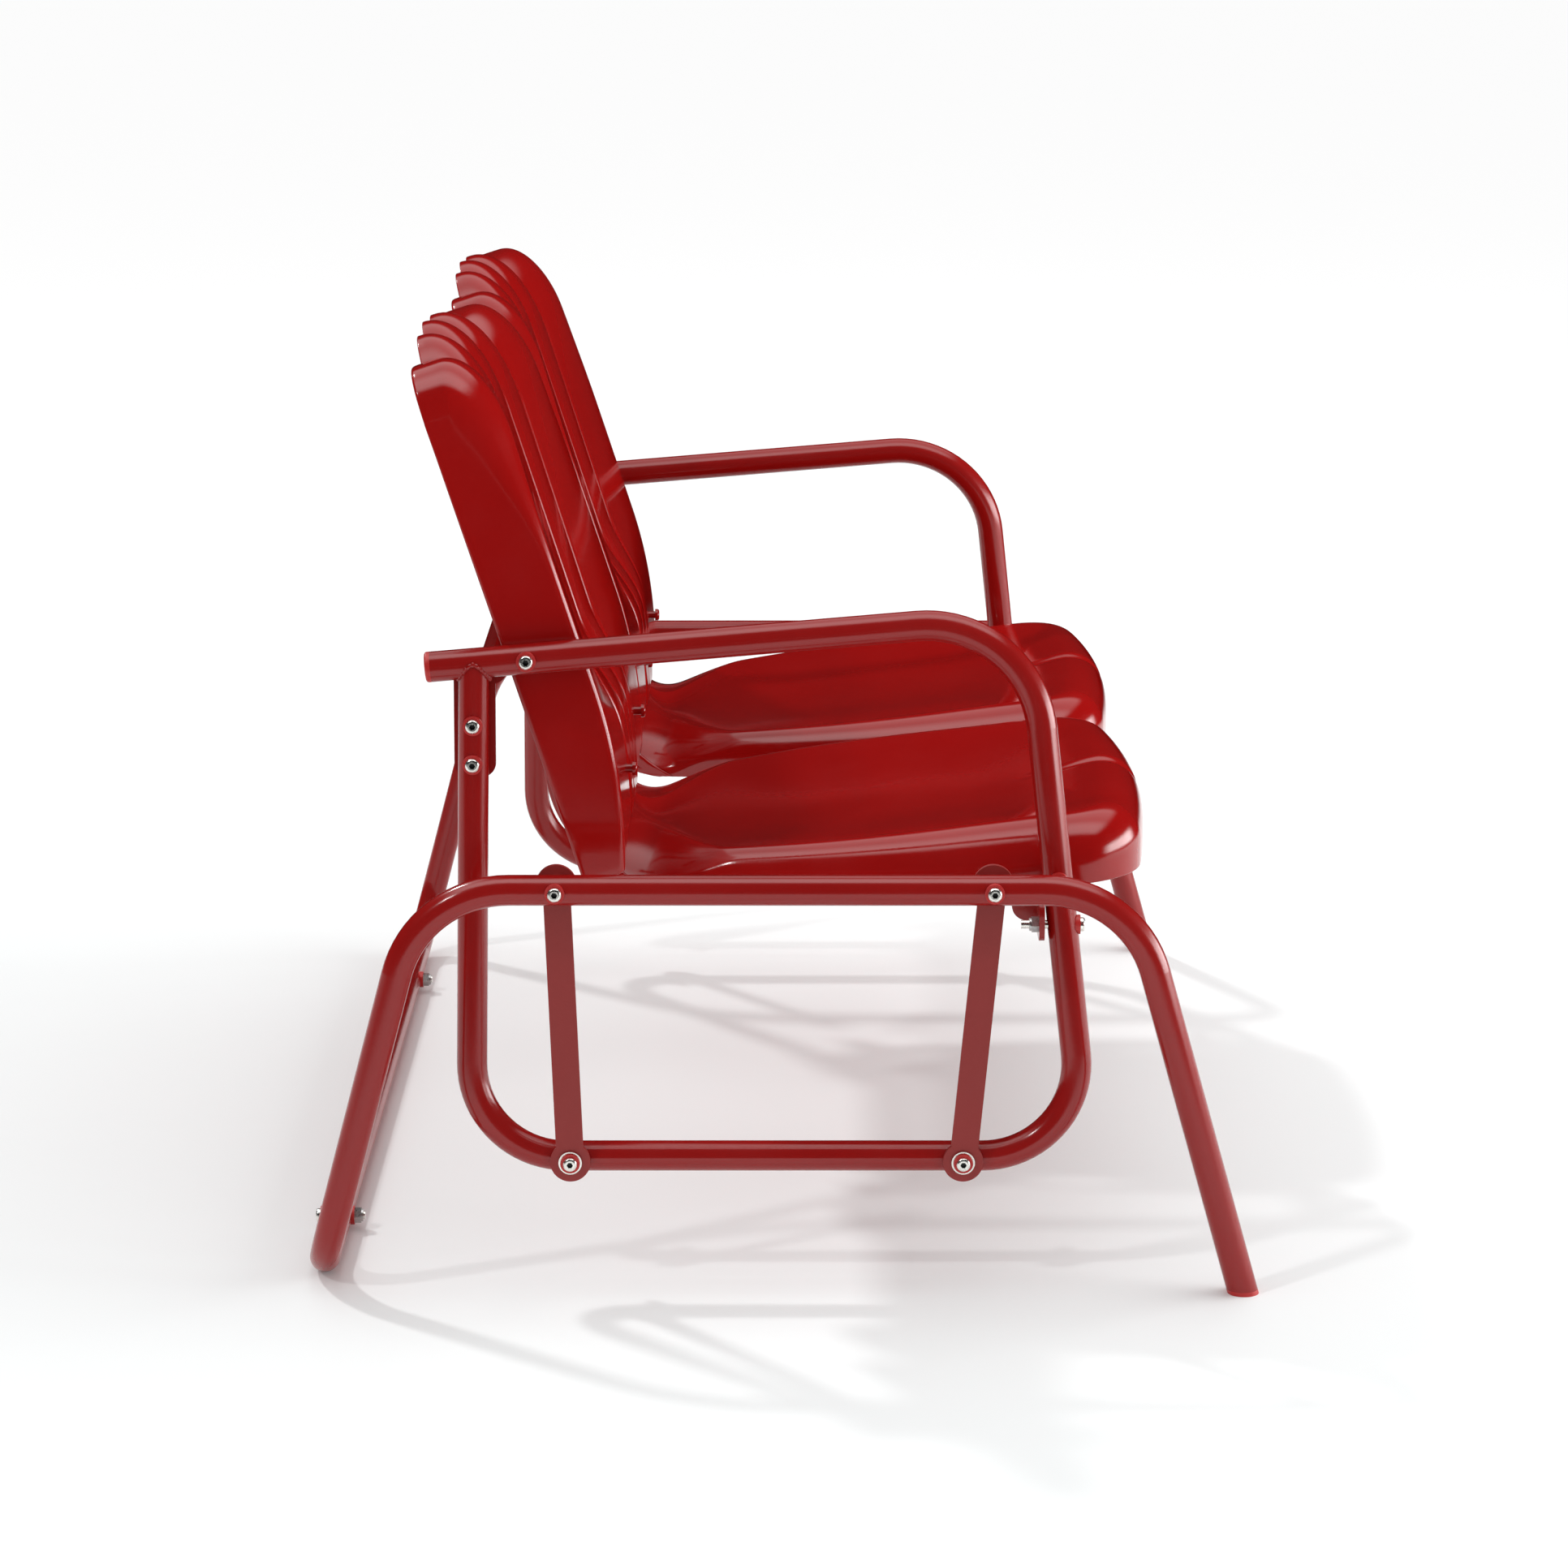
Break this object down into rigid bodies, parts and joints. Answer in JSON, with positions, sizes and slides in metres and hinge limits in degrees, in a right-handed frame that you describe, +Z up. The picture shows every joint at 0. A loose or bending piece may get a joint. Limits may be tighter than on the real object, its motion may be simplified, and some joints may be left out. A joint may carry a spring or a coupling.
{
  "type": "outdoor glider loveseat",
  "caption": "Metal porch glider loveseat: fluted shell backs and seat pans on bent-tube arm frames, hung on links from splayed tube side frames so that it swings.",
  "frame": {"origin": "on the floor, under the middle of the loveseat's bounding box", "axes": "+X to the sitter's left along the length, -Y the way the sitter faces, +Z up"},
  "size_m": [1.2476, 0.8858, 0.8535],
  "materials": {
    "red_tubes": "semi-gloss powder coat",
    "red_panels": "gloss powder coat",
    "bright_bolts": "bright plated",
    "zinc_nuts": "zinc plated",
    "red_plastic": "moulded plastic",
    "nylon_bushes": "moulded nylon"
  },
  "bodies": {
    "glider": {"arm_frame_left": "red_tubes", "arm_frame_right": "red_tubes", "arm_plugs": "red_plastic", "back_bolts": "bright_bolts", "back_nuts": "zinc_nuts", "back_shell_left": "red_panels", "back_shell_right": "red_panels", "back_spacers": "red_plastic", "back_washers": "red_plastic", "front_cross_rail": "red_tubes", "front_rail_bolts": "bright_bolts", "front_rail_nuts": "zinc_nuts", "front_rail_washers": "red_plastic", "hanger_bottom_bolts": "bright_bolts", "hanger_bottom_nuts": "zinc_nuts", "hanger_bottom_rings": "bright_bolts", "hanger_bottom_spacers": "red_plastic", "hanger_bottom_washers": "red_plastic", "joining_bolts": "bright_bolts", "joining_nuts": "zinc_nuts", "joining_spacers": "red_plastic", "rear_cross_rail": "red_tubes", "rear_rail_bolts": "bright_bolts", "rear_rail_nuts": "zinc_nuts", "rear_rail_washers": "red_plastic", "seat_bolts": "bright_bolts", "seat_nuts": "zinc_nuts", "seat_pan_left": "red_panels", "seat_pan_right": "red_panels", "seat_spacers": "red_plastic", "seat_washers": "red_plastic", "shell_bolts": "bright_bolts", "shell_nuts": "zinc_nuts"},
    "base": {"base_side_left": "red_tubes", "base_side_right": "red_tubes", "foot_plugs": "red_plastic", "hanger_top_bolts": "bright_bolts", "hanger_top_nuts": "zinc_nuts", "hanger_top_spacers": "red_plastic", "hanger_top_washers": "red_plastic", "rear_stretcher": "red_tubes", "stretcher_bolts": "bright_bolts", "stretcher_nuts": "zinc_nuts", "stretcher_washers": "red_plastic"},
    "front_hanger_left": {"front_hanger_left": "red_tubes", "front_hanger_left_bushes": "nylon_bushes"},
    "front_hanger_right": {"front_hanger_right": "red_tubes", "front_hanger_right_bushes": "nylon_bushes"},
    "rear_hanger_left": {"rear_hanger_left": "red_tubes", "rear_hanger_left_bushes": "nylon_bushes"},
    "rear_hanger_right": {"rear_hanger_right": "red_tubes", "rear_hanger_right_bushes": "nylon_bushes"}
  },
  "joints": [
    {"name": "glide", "type": "hinge", "parent": "base", "child": "rear_hanger_left", "pos_m": [0.5815, 0.203, 0.382], "axis": [1, 0, 0], "range_deg": [-12, 12]},
    {"name": "seat_on_rear_hanger_left", "type": "hinge", "parent": "rear_hanger_left", "child": "glider", "pos_m": [0.5815, 0.193, 0.119], "axis": [1, 0, 0], "range_deg": [-13.3, 13.3]},
    {"name": "rear_hanger_right_swing", "type": "hinge", "parent": "base", "child": "rear_hanger_right", "pos_m": [-0.5815, 0.203, 0.382], "axis": [1, 0, 0], "range_deg": [-12.1, 12.1]},
    {"name": "front_hanger_left_swing", "type": "hinge", "parent": "base", "child": "front_hanger_left", "pos_m": [0.5815, -0.193, 0.382], "axis": [1, 0, 0], "range_deg": [-12.1, 12.1]},
    {"name": "front_hanger_right_swing", "type": "hinge", "parent": "base", "child": "front_hanger_right", "pos_m": [-0.5815, -0.193, 0.382], "axis": [1, 0, 0], "range_deg": [-12.1, 12.1]}
  ],
  "couplings": [
    {"joint": "seat_on_rear_hanger_left", "follows": "glide", "ratio": -1.096},
    {"joint": "rear_hanger_right_swing", "follows": "glide", "ratio": 1},
    {"joint": "front_hanger_left_swing", "follows": "glide", "ratio": 1},
    {"joint": "front_hanger_right_swing", "follows": "glide", "ratio": 1}
  ]
}
